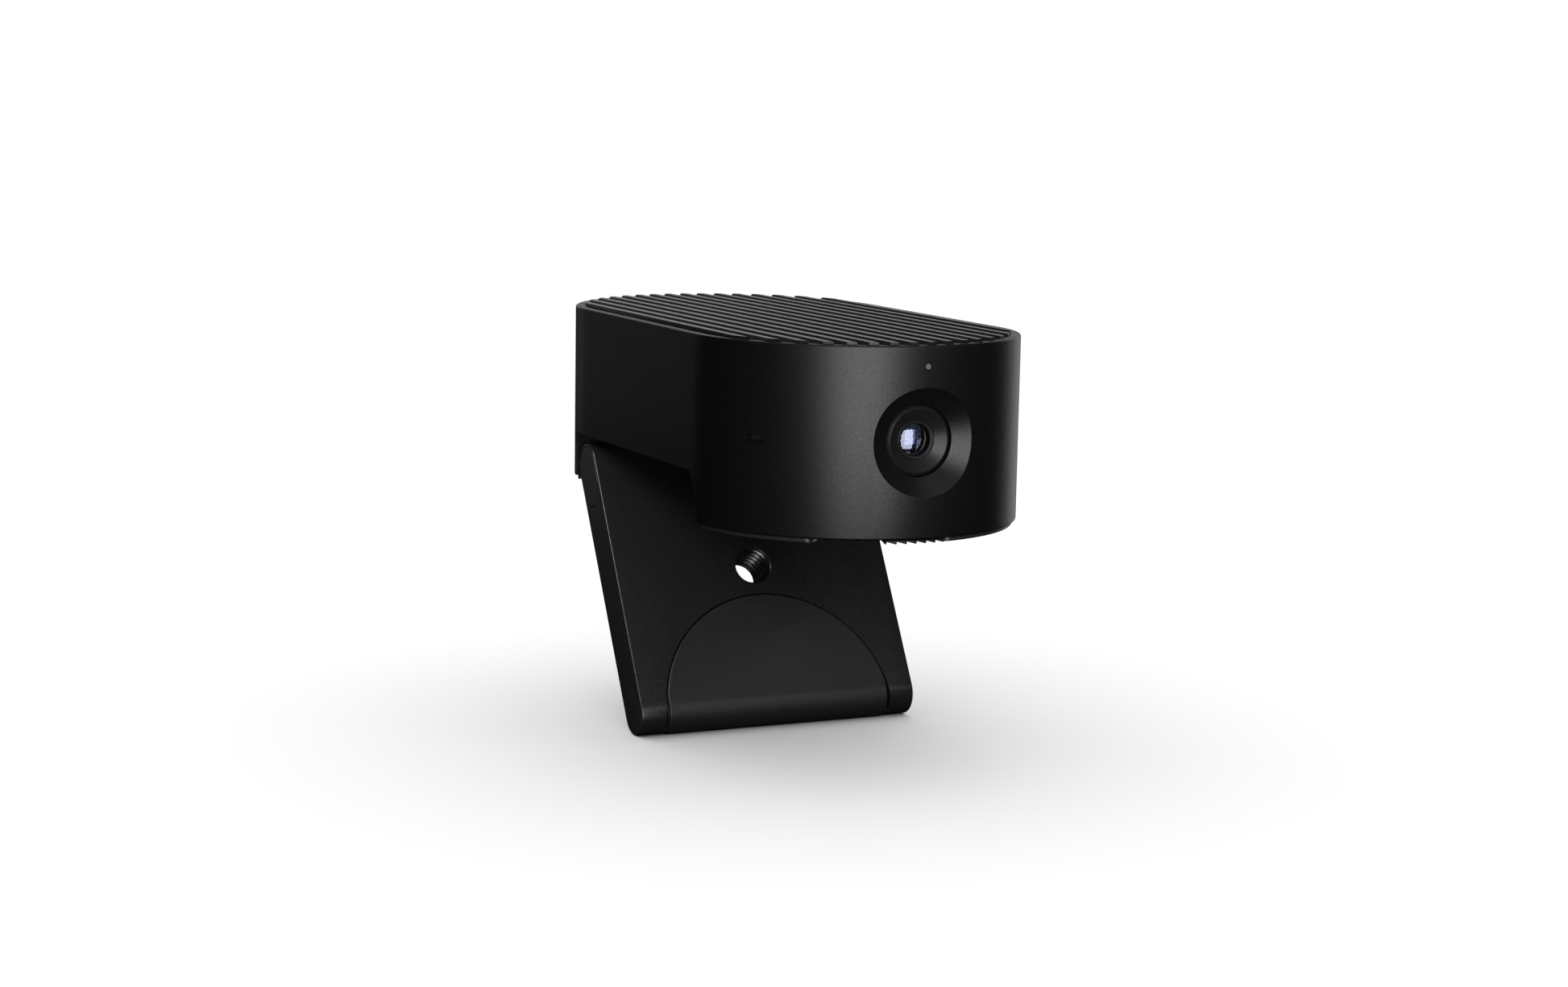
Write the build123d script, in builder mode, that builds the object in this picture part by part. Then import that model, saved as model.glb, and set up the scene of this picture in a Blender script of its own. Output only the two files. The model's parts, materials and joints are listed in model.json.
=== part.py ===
from build123d import *
import math
import os

os.makedirs("parts", exist_ok=True)

# All sizes are in millimetres. The camera head lies level with its lens towards -Y.
# The plan centre of the head is x = y = 0, and z = 0 is the ground under the foot.

# ---------------- camera head ----------------
rim_top = 69.625
head_radius = 27.0
end_centre = 23.1
wall = 1.65
shell_depth = 29.4
shell_bottom = rim_top - shell_depth
plate_drop = 0.7
plate_inset = 0.6
plug_thickness = 1.0

rib_pitch = 3.1
rib_count = 16
rib_width = 1.5
rib_proud = 0.4
groove_floor = rim_top - 3.6
sink_underside = rim_top - 6.0
pedestal_bottom = rim_top - 9.5

# ---------------- recess that the folded leg lies in ----------------
recess_ceiling = rim_top - 21.4
recess_front_y = -25.45
recess_front_radius = 14.0
recess_back_y = 31.2
tray_thickness = 1.2

# ---------------- leg and its two axes ----------------
lean = 30.35
leg_half_width = 25.25
leg_thickness = 7.6
leg_radius = leg_thickness / 2
leg_face_y = 38.21
hinge_s = 29.3
foot_s = 74.0
thread_s = 50.6
cap_s = 33.4
cap_radius = 3.27
cap_depth = 1.0

notch_half = 8.0
block_half = 7.4
block_radius = 3.5
pin_radius = 1.5
run_clearance = 0.05

thread_radius = 3.175
insert_radius = 4.0

flap_radius = 20.5
flap_centre_s = 76.5
flap_gap = 0.25
flap_depth = 2.6
flap_recess = 2.9
skin_proud = 0.2
skin_thickness = 0.6
foot_flat = 3.85
foot_pin_radius = 1.0

# ---------------- lens, cover and lamp ----------------
lens_z = rim_top - 14.7
cone_front_y = -50.4
cone_half_width = 11.75
cone_half_height = 8.63
bezel_radius = 5.55
bezel_front_y = -47.5
bezel_back_y = -46.15
bezel_lip_y = -46.5
bezel_edge_y = -46.9
bezel_mouth = 4.9
bezel_dish = 3.1
bezel_throat = 2.42
boss_radius = 9.5
boss_back_y = -46.5
boss_depth = 2.4

blade_outer = 22.9
blade_inner = 22.6
tab_outer = 26.85
tab_bottom = shell_bottom - 0.65
cover_park = 23.0
tab_from = -13.1
tab_to = 7.5
notch_from = -37.15
notch_to = 8.75
tooth_count = 6

lamp_z = rim_top - 3.17
lamp_radius = 0.475
pipe_y = -48.85
pipe_low = rim_top - 6.95
mic_angle = -57.7
mic_z = rim_top - 14.7
socket_z = rim_top - 10.3

# ---------------- inside the head ----------------
inner_radius = head_radius - wall - 0.03
ledge_bottom = shell_bottom + plug_thickness
ledge_top = ledge_bottom + 2.0
ledge_front_y = -34.0
ledge_back_y = 40.0
base_screw_spots = ((-12, -30), (12, -30), (-12, 36), (12, 36))
hinge_screw_spots = ((-4.5, 26.7), (4.5, 26.7))
board_bottom = rim_top - 13.1
board_top = rim_top - 11.9
board_posts = ((-16, -14), (16, -14), (-16, 26), (16, 26))
sensor_board_y = -29.5
spreader_thickness = 1.6
barrel_radius = 4.4
barrel_bore = 3.4
barrel_aperture = 2.3
lens_radius = 3.35
strip_low = ledge_bottom + 0.2
tab_top = shell_bottom - 0.1
socket_back_y = 42.0
socket_length = 7.9
magnet_s = 63.0

# ---------------- derived positions ----------------
lean_sin = math.sin(math.radians(lean))
lean_cos = math.cos(math.radians(lean))


def leg_point(x, s, d):
    """Point s down the leg's front face and d into its thickness."""
    return Vector(
        x,
        leg_face_y - s * lean_sin + d * lean_cos,
        rim_top - s * lean_cos - d * lean_sin,
    )


hinge = leg_point(0, hinge_s, leg_radius)
foot = leg_point(0, foot_s, leg_radius)
leg_normal = Vector(0, lean_cos, -lean_sin)


def leg_face(s, d):
    """Plane in the leg: x across, y up the leg, z out of its front face."""
    return Plane(origin=leg_point(0, s, d), x_dir=(1, 0, 0), z_dir=-leg_normal)


def side_plane(x, centre):
    """Plane across the hinge line: x is -Y of the row, y is +Z, z is -X."""
    return Plane(origin=(x, centre.Y, centre.Z), x_dir=(0, -1, 0), z_dir=(-1, 0, 0))


def leg_side(x, s):
    """Plane on the leg's side: x down the leg, y out of its front face, z is -X."""
    return Plane(origin=leg_point(x, s, leg_radius), x_dir=(0, -lean_sin, -lean_cos), z_dir=(-1, 0, 0))


def arc_point(angle, radius):
    """Point on the front end's plan arc, angle measured from -Y towards +X."""
    turn = math.radians(angle)
    return (radius * math.sin(turn), -end_centre - radius * math.cos(turn))


def front_plane(y, z, x=0.0):
    """Plane facing -Y."""
    return Plane(origin=(x, y, z), x_dir=(1, 0, 0), z_dir=(0, -1, 0))


def mic_plane(radius):
    """Plane at the microphone, facing out of the head."""
    turn = math.radians(mic_angle)
    return Plane(
        origin=(*arc_point(mic_angle, radius), mic_z),
        x_dir=(math.cos(turn), math.sin(turn), 0),
        z_dir=(math.sin(turn), -math.cos(turn), 0),
    )


def head_slab(radius, z_low, z_high):
    """Stadium slab of the head's plan, with the given end radius."""
    with BuildPart() as slab:
        with BuildSketch(Plane.XY.offset(z_low)):
            SlotCenterToCenter(2 * end_centre, 2 * radius, rotation=90)
        extrude(amount=z_high - z_low)
    return slab.part


def sector(angle_a, angle_b, inner, outer, z_low, z_high):
    """Piece of a ring about the front end's centre."""
    middle = (angle_a + angle_b) / 2
    with BuildPart() as piece:
        with BuildSketch(Plane.XY.offset(z_low)):
            with BuildLine():
                ThreePointArc(
                    arc_point(angle_a, outer), arc_point(middle, outer), arc_point(angle_b, outer)
                )
                Line(arc_point(angle_b, outer), arc_point(angle_b, inner))
                ThreePointArc(
                    arc_point(angle_b, inner), arc_point(middle, inner), arc_point(angle_a, inner)
                )
                Line(arc_point(angle_a, inner), arc_point(angle_a, outer))
            make_face()
        extrude(amount=z_high - z_low)
    return piece.part


def recess_prism(gap, half_width):
    """Space under the head for the folded leg, grown outwards by gap."""
    radius = recess_front_radius + gap
    centre_y = recess_front_y + recess_front_radius
    centre_z = rim_top - 30.0
    ceiling = recess_ceiling + gap
    bottom_z = shell_bottom - 2
    corner_y = centre_y - math.sqrt(radius**2 - (ceiling - centre_z) ** 2)
    middle = math.radians(162)
    with BuildPart() as prism:
        with BuildSketch(Plane(origin=(-half_width, 0, 0), x_dir=(0, 1, 0), z_dir=(1, 0, 0))):
            with BuildLine():
                Line((corner_y, ceiling), (recess_back_y + gap, ceiling))
                Line((recess_back_y + gap, ceiling), (recess_back_y + gap, bottom_z))
                Line((recess_back_y + gap, bottom_z), (centre_y - radius, bottom_z))
                Line((centre_y - radius, bottom_z), (centre_y - radius, centre_z))
                ThreePointArc(
                    (centre_y - radius, centre_z),
                    (centre_y + radius * math.cos(middle), centre_z + radius * math.sin(middle)),
                    (corner_y, ceiling),
                )
            make_face()
        extrude(amount=2 * half_width)
    return prism.part


# ================= CAMERA HEAD =================
# Thicker pad behind the front wall, for the lens opening.
with BuildPart() as lens_pad:
    with BuildSketch(front_plane(boss_back_y, lens_z)):
        Circle(boss_radius)
    extrude(amount=boss_depth)
    add(head_slab(head_radius - wall / 2, shell_bottom, rim_top), mode=Mode.INTERSECT)

with BuildPart() as shell:
    add(head_slab(head_radius, shell_bottom, rim_top))
    top_edges = shell.edges().group_by(Axis.Z)[-1]
    low_edges = shell.edges().group_by(Axis.Z)[0]
    fillet(top_edges, 0.3)
    chamfer(low_edges, 0.35)
    add(head_slab(head_radius - wall, shell_bottom - 1, rim_top + 1), mode=Mode.SUBTRACT)
    add(lens_pad.part)
    # The leg recess runs out through both side walls.
    add(recess_prism(0, 30), mode=Mode.SUBTRACT)
    # Lens bore and the cone that opens to the front. The cone widens faster sideways, so
    # that its outline on the curved wall is close to a circle.
    with BuildSketch(front_plane(bezel_front_y + 4, lens_z)):
        Circle(bezel_radius + 0.02)
    extrude(amount=10, mode=Mode.SUBTRACT)
    with BuildSketch(front_plane(bezel_front_y, lens_z)):
        Circle(bezel_radius + 0.05)
    with BuildSketch(front_plane(cone_front_y, lens_z)):
        Ellipse(cone_half_width, cone_half_height)
    loft(ruled=True, mode=Mode.SUBTRACT)
    # Lamp hole and the channel that its light pipe comes up in.
    with BuildSketch(front_plane(pipe_y, lamp_z)):
        Circle(lamp_radius)
    extrude(amount=3, mode=Mode.SUBTRACT)
    with BuildSketch(Plane.XY.offset(pipe_low - 0.05)):
        with Locations((0, pipe_y)):
            Rectangle(1.2, 0.8)
    extrude(amount=rim_top - 2.5 - pipe_low, mode=Mode.SUBTRACT)
    with BuildSketch(front_plane(boss_back_y + 0.1, pipe_low + 0.45)):
        Rectangle(1.2, 1.0)
    extrude(amount=boss_back_y - pipe_y, mode=Mode.SUBTRACT)
    # Microphone slot to the left of the lens.
    with BuildSketch(mic_plane(head_radius - wall - 0.5)):
        SlotOverall(3.2, 1.1)
    extrude(amount=4, mode=Mode.SUBTRACT)
    # Cable socket opening in the rear end.
    with BuildSketch(front_plane(52, socket_z)):
        SlotOverall(9.3, 3.6)
    extrude(amount=4, mode=Mode.SUBTRACT)
shell.part.label = "shell"
export_step(shell.part, "parts/shell.step")

with BuildPart() as heat_sink:
    with BuildSketch(Plane.XY.offset(groove_floor - 0.5)):
        with GridLocations(rib_pitch, 1, rib_count, 1):
            Rectangle(rib_width, 110)
    extrude(amount=rim_top + rib_proud - groove_floor + 0.5)
    fillet(heat_sink.edges().group_by(Axis.Z)[-1].filter_by(Axis.Y), 0.2)
    add(head_slab(inner_radius, groove_floor - 1, rim_top + 1), mode=Mode.INTERSECT)
    add(head_slab(inner_radius, sink_underside, groove_floor))
    # Clearance for the pad round the lens.
    with BuildSketch(front_plane(boss_back_y + 0.1, lens_z)):
        Circle(boss_radius + 0.05)
    extrude(amount=4, mode=Mode.SUBTRACT)
    # Pedestal that reaches down to the processor.
    with BuildSketch(Plane.XY.offset(pedestal_bottom)):
        Rectangle(18, 18)
    extrude(amount=sink_underside - pedestal_bottom)
heat_sink.part.label = "heat_sink"
export_step(heat_sink.part, "parts/heat_sink.step")

with BuildPart() as lower_tray:
    add(recess_prism(tray_thickness, 30))
    add(recess_prism(0, 31), mode=Mode.SUBTRACT)
    # Ledges that the base plates are screwed to.
    for low_y, high_y in ((ledge_front_y, -26.2), (32.0, ledge_back_y)):
        with BuildSketch(Plane.XY.offset(ledge_bottom)):
            with Locations((0, (low_y + high_y) / 2)):
                Rectangle(36, high_y - low_y)
        extrude(amount=2)
    add(head_slab(inner_radius, shell_bottom, rim_top), mode=Mode.INTERSECT)
    # Posts for the main board.
    with BuildSketch(Plane.XY.offset(recess_ceiling + tray_thickness)):
        with Locations(*board_posts):
            Circle(2.2)
    extrude(amount=board_bottom - recess_ceiling - tray_thickness)
    with BuildSketch(Plane.XY.offset(recess_ceiling + tray_thickness)):
        with Locations(*board_posts):
            Circle(0.82)
    extrude(amount=20, mode=Mode.SUBTRACT)
    with BuildSketch(Plane.XY.offset(ledge_bottom)):
        with Locations(*base_screw_spots):
            Circle(1.02)
    extrude(amount=2, mode=Mode.SUBTRACT)
    with BuildSketch(Plane.XY.offset(recess_ceiling)):
        with Locations(*hinge_screw_spots):
            Circle(1.3)
    extrude(amount=tray_thickness, mode=Mode.SUBTRACT)
lower_tray.part.label = "lower_tray"
export_step(lower_tray.part, "parts/lower_tray.step")


def base_plate(front):
    """One of the two plates that close the head from below."""
    side = -1 if front else 1
    edge = -recess_front_y if front else recess_back_y
    with BuildPart() as plate:
        add(head_slab(head_radius - plate_inset, shell_bottom - plate_drop, shell_bottom))
        add(head_slab(inner_radius, shell_bottom, ledge_bottom))
        with BuildSketch(Plane.XY.offset(shell_bottom - 2)):
            with Locations((0, side * (edge + 40))):
                Rectangle(60, 80)
        extrude(amount=5, mode=Mode.INTERSECT)
        # The tray's end wall comes down beside the upper step.
        with BuildSketch(Plane.XY.offset(shell_bottom)):
            with Locations((0, side * (edge + tray_thickness / 2))):
                Rectangle(60, tray_thickness + 0.1)
        extrude(amount=2, mode=Mode.SUBTRACT)
        for spot in base_screw_spots:
            if spot[1] * side > 0:
                with BuildSketch(Plane.XY.offset(shell_bottom - plate_drop)):
                    with Locations(spot):
                        Circle(1.95)
                extrude(amount=1.05, mode=Mode.SUBTRACT)
                with BuildSketch(Plane.XY.offset(shell_bottom - plate_drop)):
                    with Locations(spot):
                        Circle(1.1)
                extrude(amount=2, mode=Mode.SUBTRACT)
        if front:
            add(sector(notch_from, notch_to, 22.0, 29, shell_bottom - 2, rim_top), mode=Mode.SUBTRACT)
    return plate.part


with BuildPart() as base_plate_front:
    add(base_plate(True))
    corners = base_plate_front.edges().filter_by(Axis.Z)
    for angle in (notch_from, notch_to):
        corner = Vector(*arc_point(angle, head_radius - plate_inset), shell_bottom - plate_drop / 2)
        nearest = corners.sort_by_distance(corner)[0]
        fillet(nearest, 1.2)
base_plate_front.part.label = "base_plate_front"
export_step(base_plate_front.part, "parts/base_plate_front.step")

with BuildPart() as base_plate_rear:
    add(base_plate(False))
base_plate_rear.part.label = "base_plate_rear"
export_step(base_plate_rear.part, "parts/base_plate_rear.step")

with BuildPart() as base_screws:
    with BuildSketch(Plane.XY.offset(shell_bottom - plate_drop)):
        with Locations(*base_screw_spots):
            Circle(1.9)
    extrude(amount=1.0)
    with BuildSketch(Plane.XY.offset(shell_bottom - plate_drop)):
        with Locations(*base_screw_spots):
            Circle(1.0)
    extrude(amount=3.6)
    with BuildSketch(Plane.XY.offset(shell_bottom - plate_drop)):
        with Locations(*base_screw_spots):
            RegularPolygon(0.75, 6)
    extrude(amount=0.6, mode=Mode.SUBTRACT)
base_screws.part.label = "base_screws"
export_step(base_screws.part, "parts/base_screws.step")

# ================= LENS =================


def ring_y(y_front, y_back, outer, inner):
    """Ring about the lens axis between two depths."""
    with BuildPart() as ring:
        with BuildSketch(front_plane(y_back, lens_z)):
            Circle(outer)
            Circle(inner, mode=Mode.SUBTRACT)
        extrude(amount=y_back - y_front)
    return ring.part


with BuildPart() as lens_bezel:
    with BuildSketch(Plane(origin=(0, 0, lens_z), x_dir=(1, 0, 0), z_dir=(0, 0, 1))):
        with BuildLine():
            Polyline(
                (bezel_radius, bezel_edge_y),
                (bezel_mouth, bezel_front_y),
                (bezel_mouth - 0.1, bezel_front_y),
                (bezel_dish, bezel_lip_y),
                (bezel_throat, bezel_lip_y),
                (bezel_throat, bezel_back_y),
                (bezel_radius, bezel_back_y),
                close=True,
            )
        make_face()
    revolve(axis=Axis((0, 0, lens_z), (0, 1, 0)))
lens_bezel.part.label = "lens_bezel"
export_step(lens_bezel.part, "parts/lens_bezel.step")

with BuildPart() as lens_barrel:
    with BuildSketch(Plane(origin=(0, 0, lens_z), x_dir=(1, 0, 0), z_dir=(0, 0, 1))):
        with BuildLine():
            Polyline(
                (barrel_aperture, -45.0),
                (3.2, -45.0),
                (3.2, -44.5),
                (barrel_radius, -44.5),
                (barrel_radius, -34.0),
                (barrel_bore, -34.0),
                (barrel_bore, -44.4),
                (barrel_aperture, -44.8),
                close=True,
            )
        make_face()
    revolve(axis=Axis((0, 0, lens_z), (0, 1, 0)))
lens_barrel.part.label = "lens_barrel"
export_step(lens_barrel.part, "parts/lens_barrel.step")


def lens_disc(y_front, y_back, radius, front_bulge, back_bulge):
    """Glass element with a domed front and back."""
    front_round = (radius**2 + front_bulge**2) / (2 * front_bulge)
    back_round = (radius**2 + back_bulge**2) / (2 * back_bulge)
    with BuildPart() as disc:
        with BuildSketch(Plane(origin=(0, 0, lens_z), x_dir=(1, 0, 0), z_dir=(0, 0, 1))):
            with Locations((0, y_front - front_bulge + front_round)):
                Circle(front_round)
            with Locations((0, y_back + back_bulge - back_round)):
                Circle(back_round, mode=Mode.INTERSECT)
            with Locations((radius / 2, (y_front + y_back) / 2)):
                Rectangle(radius, 6, mode=Mode.INTERSECT)
        revolve(axis=Axis((0, 0, lens_z), (0, 1, 0)))
    return disc.part


with BuildPart() as front_lens:
    add(lens_disc(-44.3, -42.8, lens_radius, 0.55, 0.3))
front_lens.part.label = "front_lens"
export_step(front_lens.part, "parts/front_lens.step")

with BuildPart() as lens_spacer:
    add(ring_y(-42.6, -40.5, lens_radius, 2.6))
lens_spacer.part.label = "lens_spacer"
export_step(lens_spacer.part, "parts/lens_spacer.step")

with BuildPart() as middle_lens:
    add(lens_disc(-40.3, -39.1, lens_radius, 0.2, 0.4))
middle_lens.part.label = "middle_lens"
export_step(middle_lens.part, "parts/middle_lens.step")

with BuildPart() as rear_lens:
    add(lens_disc(-37.6, -36.3, lens_radius, 0.4, 0.5))
rear_lens.part.label = "rear_lens"
export_step(rear_lens.part, "parts/rear_lens.step")

with BuildPart() as lens_retainer:
    add(ring_y(-35.5, -34.3, lens_radius, 2.4))
lens_retainer.part.label = "lens_retainer"
export_step(lens_retainer.part, "parts/lens_retainer.step")

with BuildPart() as lens_holder:
    with BuildSketch(front_plane(sensor_board_y, lens_z)):
        RectangleRounded(13, 13, 1)
    extrude(amount=11.5)
    with BuildSketch(front_plane(sensor_board_y, lens_z)):
        Circle(barrel_radius + 0.03)
    extrude(amount=12, mode=Mode.SUBTRACT)
    with BuildSketch(front_plane(sensor_board_y, lens_z)):
        Rectangle(9.4, 9.4)
    extrude(amount=3.4, mode=Mode.SUBTRACT)
lens_holder.part.label = "lens_holder"
export_step(lens_holder.part, "parts/lens_holder.step")

with BuildPart() as ir_filter:
    with BuildSketch(front_plane(sensor_board_y - 2.8, lens_z)):
        Rectangle(9.2, 9.2)
    extrude(amount=0.5)
ir_filter.part.label = "ir_filter"
export_step(ir_filter.part, "parts/ir_filter.step")

with BuildPart() as image_sensor:
    with BuildSketch(front_plane(sensor_board_y, lens_z)):
        Rectangle(8.4, 7.6)
    extrude(amount=1.3)
image_sensor.part.label = "image_sensor"
export_step(image_sensor.part, "parts/image_sensor.step")

with BuildPart() as sensor_spreader:
    with BuildSketch(front_plane(sensor_board_y + 1 + spreader_thickness, rim_top - 16.0)):
        Rectangle(20, 11)
    extrude(amount=spreader_thickness)
sensor_spreader.part.label = "sensor_spreader"
export_step(sensor_spreader.part, "parts/sensor_spreader.step")

with BuildPart() as sensor_board:
    with BuildSketch(front_plane(sensor_board_y + 1, (ledge_top + rim_top - 7.2) / 2)):
        Rectangle(26, rim_top - 7.2 - ledge_top)
    extrude(amount=1)
sensor_board.part.label = "sensor_board"
export_step(sensor_board.part, "parts/sensor_board.step")

# ================= PRIVACY COVER =================
with BuildPart() as shutter_blade:
    park = cover_park
    add(sector(park - 9.3, park + 9.3, blade_inner, blade_outer, strip_low + 1, lens_z + 4))
    add(sector(-10, park + 9.3, blade_inner, blade_outer, strip_low, strip_low + 1.8))
shutter_blade.part.label = "shutter_blade"
export_step(shutter_blade.part, "parts/shutter_blade.step")

with BuildPart() as slider_tab:
    add(sector(tab_from, tab_to, blade_outer, tab_outer, tab_bottom, tab_top))
    add(sector(-9, 4, blade_outer, 24.2, tab_top - 0.1, strip_low + 1.8))
    # Saw teeth for a fingertip.
    tooth_step = (tab_to - tab_from) / tooth_count
    for index in range(tooth_count):
        tip = tab_from + tooth_step * index
        turn = math.radians(tip + tooth_step / 2)
        tooth_plane = Plane(
            origin=(0, -end_centre, tab_bottom),
            x_dir=(math.cos(turn), math.sin(turn), 0),
            z_dir=(math.sin(turn), -math.cos(turn), 0),
        )
        reach = math.radians(tooth_step / 2) * tab_outer
        with BuildSketch(tooth_plane.offset(blade_outer - 1)):
            with BuildLine():
                Polyline((-reach, -0.1), (-reach * 0.8, 0.4), (reach, 0), (reach, -0.1), close=True)
            make_face()
        extrude(amount=6, mode=Mode.SUBTRACT)
slider_tab.part.label = "slider_tab"
export_step(slider_tab.part, "parts/slider_tab.step")

with BuildPart() as cover_rail:
    add(sector(-38, 36, 21.7, blade_inner - 0.3, ledge_bottom, ledge_bottom + 4.5))
cover_rail.part.label = "cover_rail"
export_step(cover_rail.part, "parts/cover_rail.step")

# ================= LAMP AND MICROPHONE =================
with BuildPart() as light_pipe:
    with BuildSketch(front_plane(pipe_y, lamp_z)):
        Circle(lamp_radius - 0.02)
    extrude(amount=pipe_y + 50.05)
    with BuildSketch(Plane.XY.offset(pipe_low)):
        with Locations((0, pipe_y)):
            Rectangle(1.1, 0.7)
    extrude(amount=rim_top - 2.6 - pipe_low)
    with BuildSketch(front_plane(boss_back_y, pipe_low + 0.45)):
        Rectangle(1.0, 0.9)
    extrude(amount=boss_back_y - pipe_y)
light_pipe.part.label = "light_pipe"
export_step(light_pipe.part, "parts/light_pipe.step")

with BuildPart() as lamp:
    with BuildSketch(front_plane(boss_back_y + 0.65, pipe_low + 0.45)):
        Rectangle(1.6, 0.8)
    extrude(amount=0.6)
lamp.part.label = "lamp"
export_step(lamp.part, "parts/lamp.step")

with BuildPart() as lamp_board:
    with BuildSketch(front_plane(boss_back_y + 1.45, rim_top - 7.8)):
        Rectangle(9, 3.4)
    extrude(amount=0.8)
lamp_board.part.label = "lamp_board"
export_step(lamp_board.part, "parts/lamp_board.step")


with BuildPart() as mic_gasket:
    with BuildSketch(mic_plane(24.2)):
        Rectangle(4.4, 3.2)
        SlotOverall(3.2, 1.1, mode=Mode.SUBTRACT)
    extrude(amount=0.95)
mic_gasket.part.label = "mic_gasket"
export_step(mic_gasket.part, "parts/mic_gasket.step")

with BuildPart() as microphone:
    with BuildSketch(mic_plane(23.1)):
        Rectangle(3.8, 2.8)
    extrude(amount=1.1)
microphone.part.label = "microphone"
export_step(microphone.part, "parts/microphone.step")

with BuildPart() as mic_board:
    with BuildSketch(mic_plane(22.3)):
        Rectangle(7, 8)
    extrude(amount=0.8)
mic_board.part.label = "mic_board"
export_step(mic_board.part, "parts/mic_board.step")

# ================= ELECTRONICS =================
with BuildPart() as main_board:
    add(head_slab(24.0, board_bottom, board_top))
    with BuildSketch(Plane.XY.offset(board_bottom)):
        with Locations((0, 11.5)):
            Rectangle(40, 70)
    extrude(amount=3, mode=Mode.INTERSECT)
    with BuildSketch(Plane.XY.offset(board_bottom)):
        with Locations(*board_posts):
            Circle(1.1)
    extrude(amount=3, mode=Mode.SUBTRACT)
main_board.part.label = "main_board"
export_step(main_board.part, "parts/main_board.step")

with BuildPart() as board_screws:
    with BuildSketch(Plane.XY.offset(board_top)):
        with Locations(*board_posts):
            Circle(1.7)
    extrude(amount=1.2)
    with BuildSketch(Plane.XY.offset(board_bottom - 4)):
        with Locations(*board_posts):
            Circle(0.8)
    extrude(amount=board_top - board_bottom + 4.2)
board_screws.part.label = "board_screws"
export_step(board_screws.part, "parts/board_screws.step")

with BuildPart() as processor:
    with BuildSketch(Plane.XY.offset(board_top)):
        Rectangle(14, 14)
    extrude(amount=1.4)
processor.part.label = "processor"
export_step(processor.part, "parts/processor.step")

with BuildPart() as thermal_pad:
    with BuildSketch(Plane.XY.offset(board_top + 1.4)):
        Rectangle(13, 13)
    extrude(amount=pedestal_bottom - board_top - 1.4)
thermal_pad.part.label = "thermal_pad"
export_step(thermal_pad.part, "parts/thermal_pad.step")

with BuildPart() as memory_chips:
    with BuildSketch(Plane.XY.offset(board_top)):
        with Locations((-11, 18), (6, 19)):
            Rectangle(9, 11)
    extrude(amount=1.0)
memory_chips.part.label = "memory_chips"
export_step(memory_chips.part, "parts/memory_chips.step")

with BuildPart() as power_coils:
    with BuildSketch(Plane.XY.offset(board_top)):
        with Locations((-10, 33), (-4, 33), (9, 33)):
            RectangleRounded(4, 4, 0.8)
    extrude(amount=2.2)
power_coils.part.label = "power_coils"
export_step(power_coils.part, "parts/power_coils.step")

with BuildPart() as flex_cable:
    with BuildSketch(Plane(origin=(-4, 0, 0), x_dir=(0, 1, 0), z_dir=(1, 0, 0))):
        with BuildLine():
            Polyline(
                (sensor_board_y + 2.2, rim_top - 8.7),
                (-24.0, rim_top - 8.7),
                (-21.5, board_top + 1.2),
                (-17.0, board_top + 1.2),
                (-17.0, board_top + 0.9),
                (-21.6, board_top + 0.9),
                (-24.1, rim_top - 9.0),
                (sensor_board_y + 2.2, rim_top - 9.0),
                close=True,
            )
        make_face()
    extrude(amount=8)
flex_cable.part.label = "flex_cable"
export_step(flex_cable.part, "parts/flex_cable.step")

with BuildPart() as flex_connectors:
    with BuildSketch(front_plane(sensor_board_y + 2.2, rim_top - 8.85)):
        Rectangle(9.5, 2.6)
    extrude(amount=1.2)
    with BuildSketch(Plane.XY.offset(board_top)):
        with Locations((0, -18.5)):
            Rectangle(9.5, 3.4)
    extrude(amount=0.9)
flex_connectors.part.label = "flex_connectors"
export_step(flex_connectors.part, "parts/flex_connectors.step")

with BuildPart() as cable_socket:
    with BuildSketch(front_plane(socket_back_y, socket_z)):
        SlotOverall(8.9, 3.2)
    extrude(amount=-socket_length)
    with BuildSketch(front_plane(socket_back_y + 1, socket_z)):
        SlotOverall(8.3, 2.6)
    extrude(amount=-socket_length, mode=Mode.SUBTRACT)
cable_socket.part.label = "cable_socket"
export_step(cable_socket.part, "parts/cable_socket.step")

with BuildPart() as socket_tongue:
    with BuildSketch(front_plane(socket_back_y + 1, socket_z)):
        RectangleRounded(6.6, 0.7, 0.3)
    extrude(amount=-5.2)
socket_tongue.part.label = "socket_tongue"
export_step(socket_tongue.part, "parts/socket_tongue.step")

# ================= HINGE =================
with BuildPart() as hinge_block:
    with BuildSketch(side_plane(block_half, hinge)):
        Circle(block_radius)
        with Locations((0, (recess_ceiling - hinge.Z) / 2)):
            Rectangle(2 * block_radius, recess_ceiling - hinge.Z)
        Circle(pin_radius + run_clearance, mode=Mode.SUBTRACT)
    extrude(amount=2 * block_half)
    with BuildSketch(Plane.XY.offset(recess_ceiling - 3.4)):
        with Locations(*hinge_screw_spots):
            Circle(1.22)
    extrude(amount=4, mode=Mode.SUBTRACT)
hinge_block.part.label = "hinge_block"
export_step(hinge_block.part, "parts/hinge_block.step")

with BuildPart() as hinge_screws:
    with BuildSketch(Plane.XY.offset(recess_ceiling + tray_thickness)):
        with Locations(*hinge_screw_spots):
            Circle(2.2)
    extrude(amount=1.4)
    with BuildSketch(Plane.XY.offset(recess_ceiling - 3.2)):
        with Locations(*hinge_screw_spots):
            Circle(1.2)
    extrude(amount=3.2 + tray_thickness + 0.2)
hinge_screws.part.label = "hinge_screws"
export_step(hinge_screws.part, "parts/hinge_screws.step")

with BuildPart() as hinge_pin:
    with BuildSketch(side_plane(leg_half_width - cap_depth - 0.2, hinge)):
        Circle(pin_radius)
    extrude(amount=2 * (leg_half_width - cap_depth - 0.2))
hinge_pin.part.label = "hinge_pin"
export_step(hinge_pin.part, "parts/hinge_pin.step")

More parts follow.
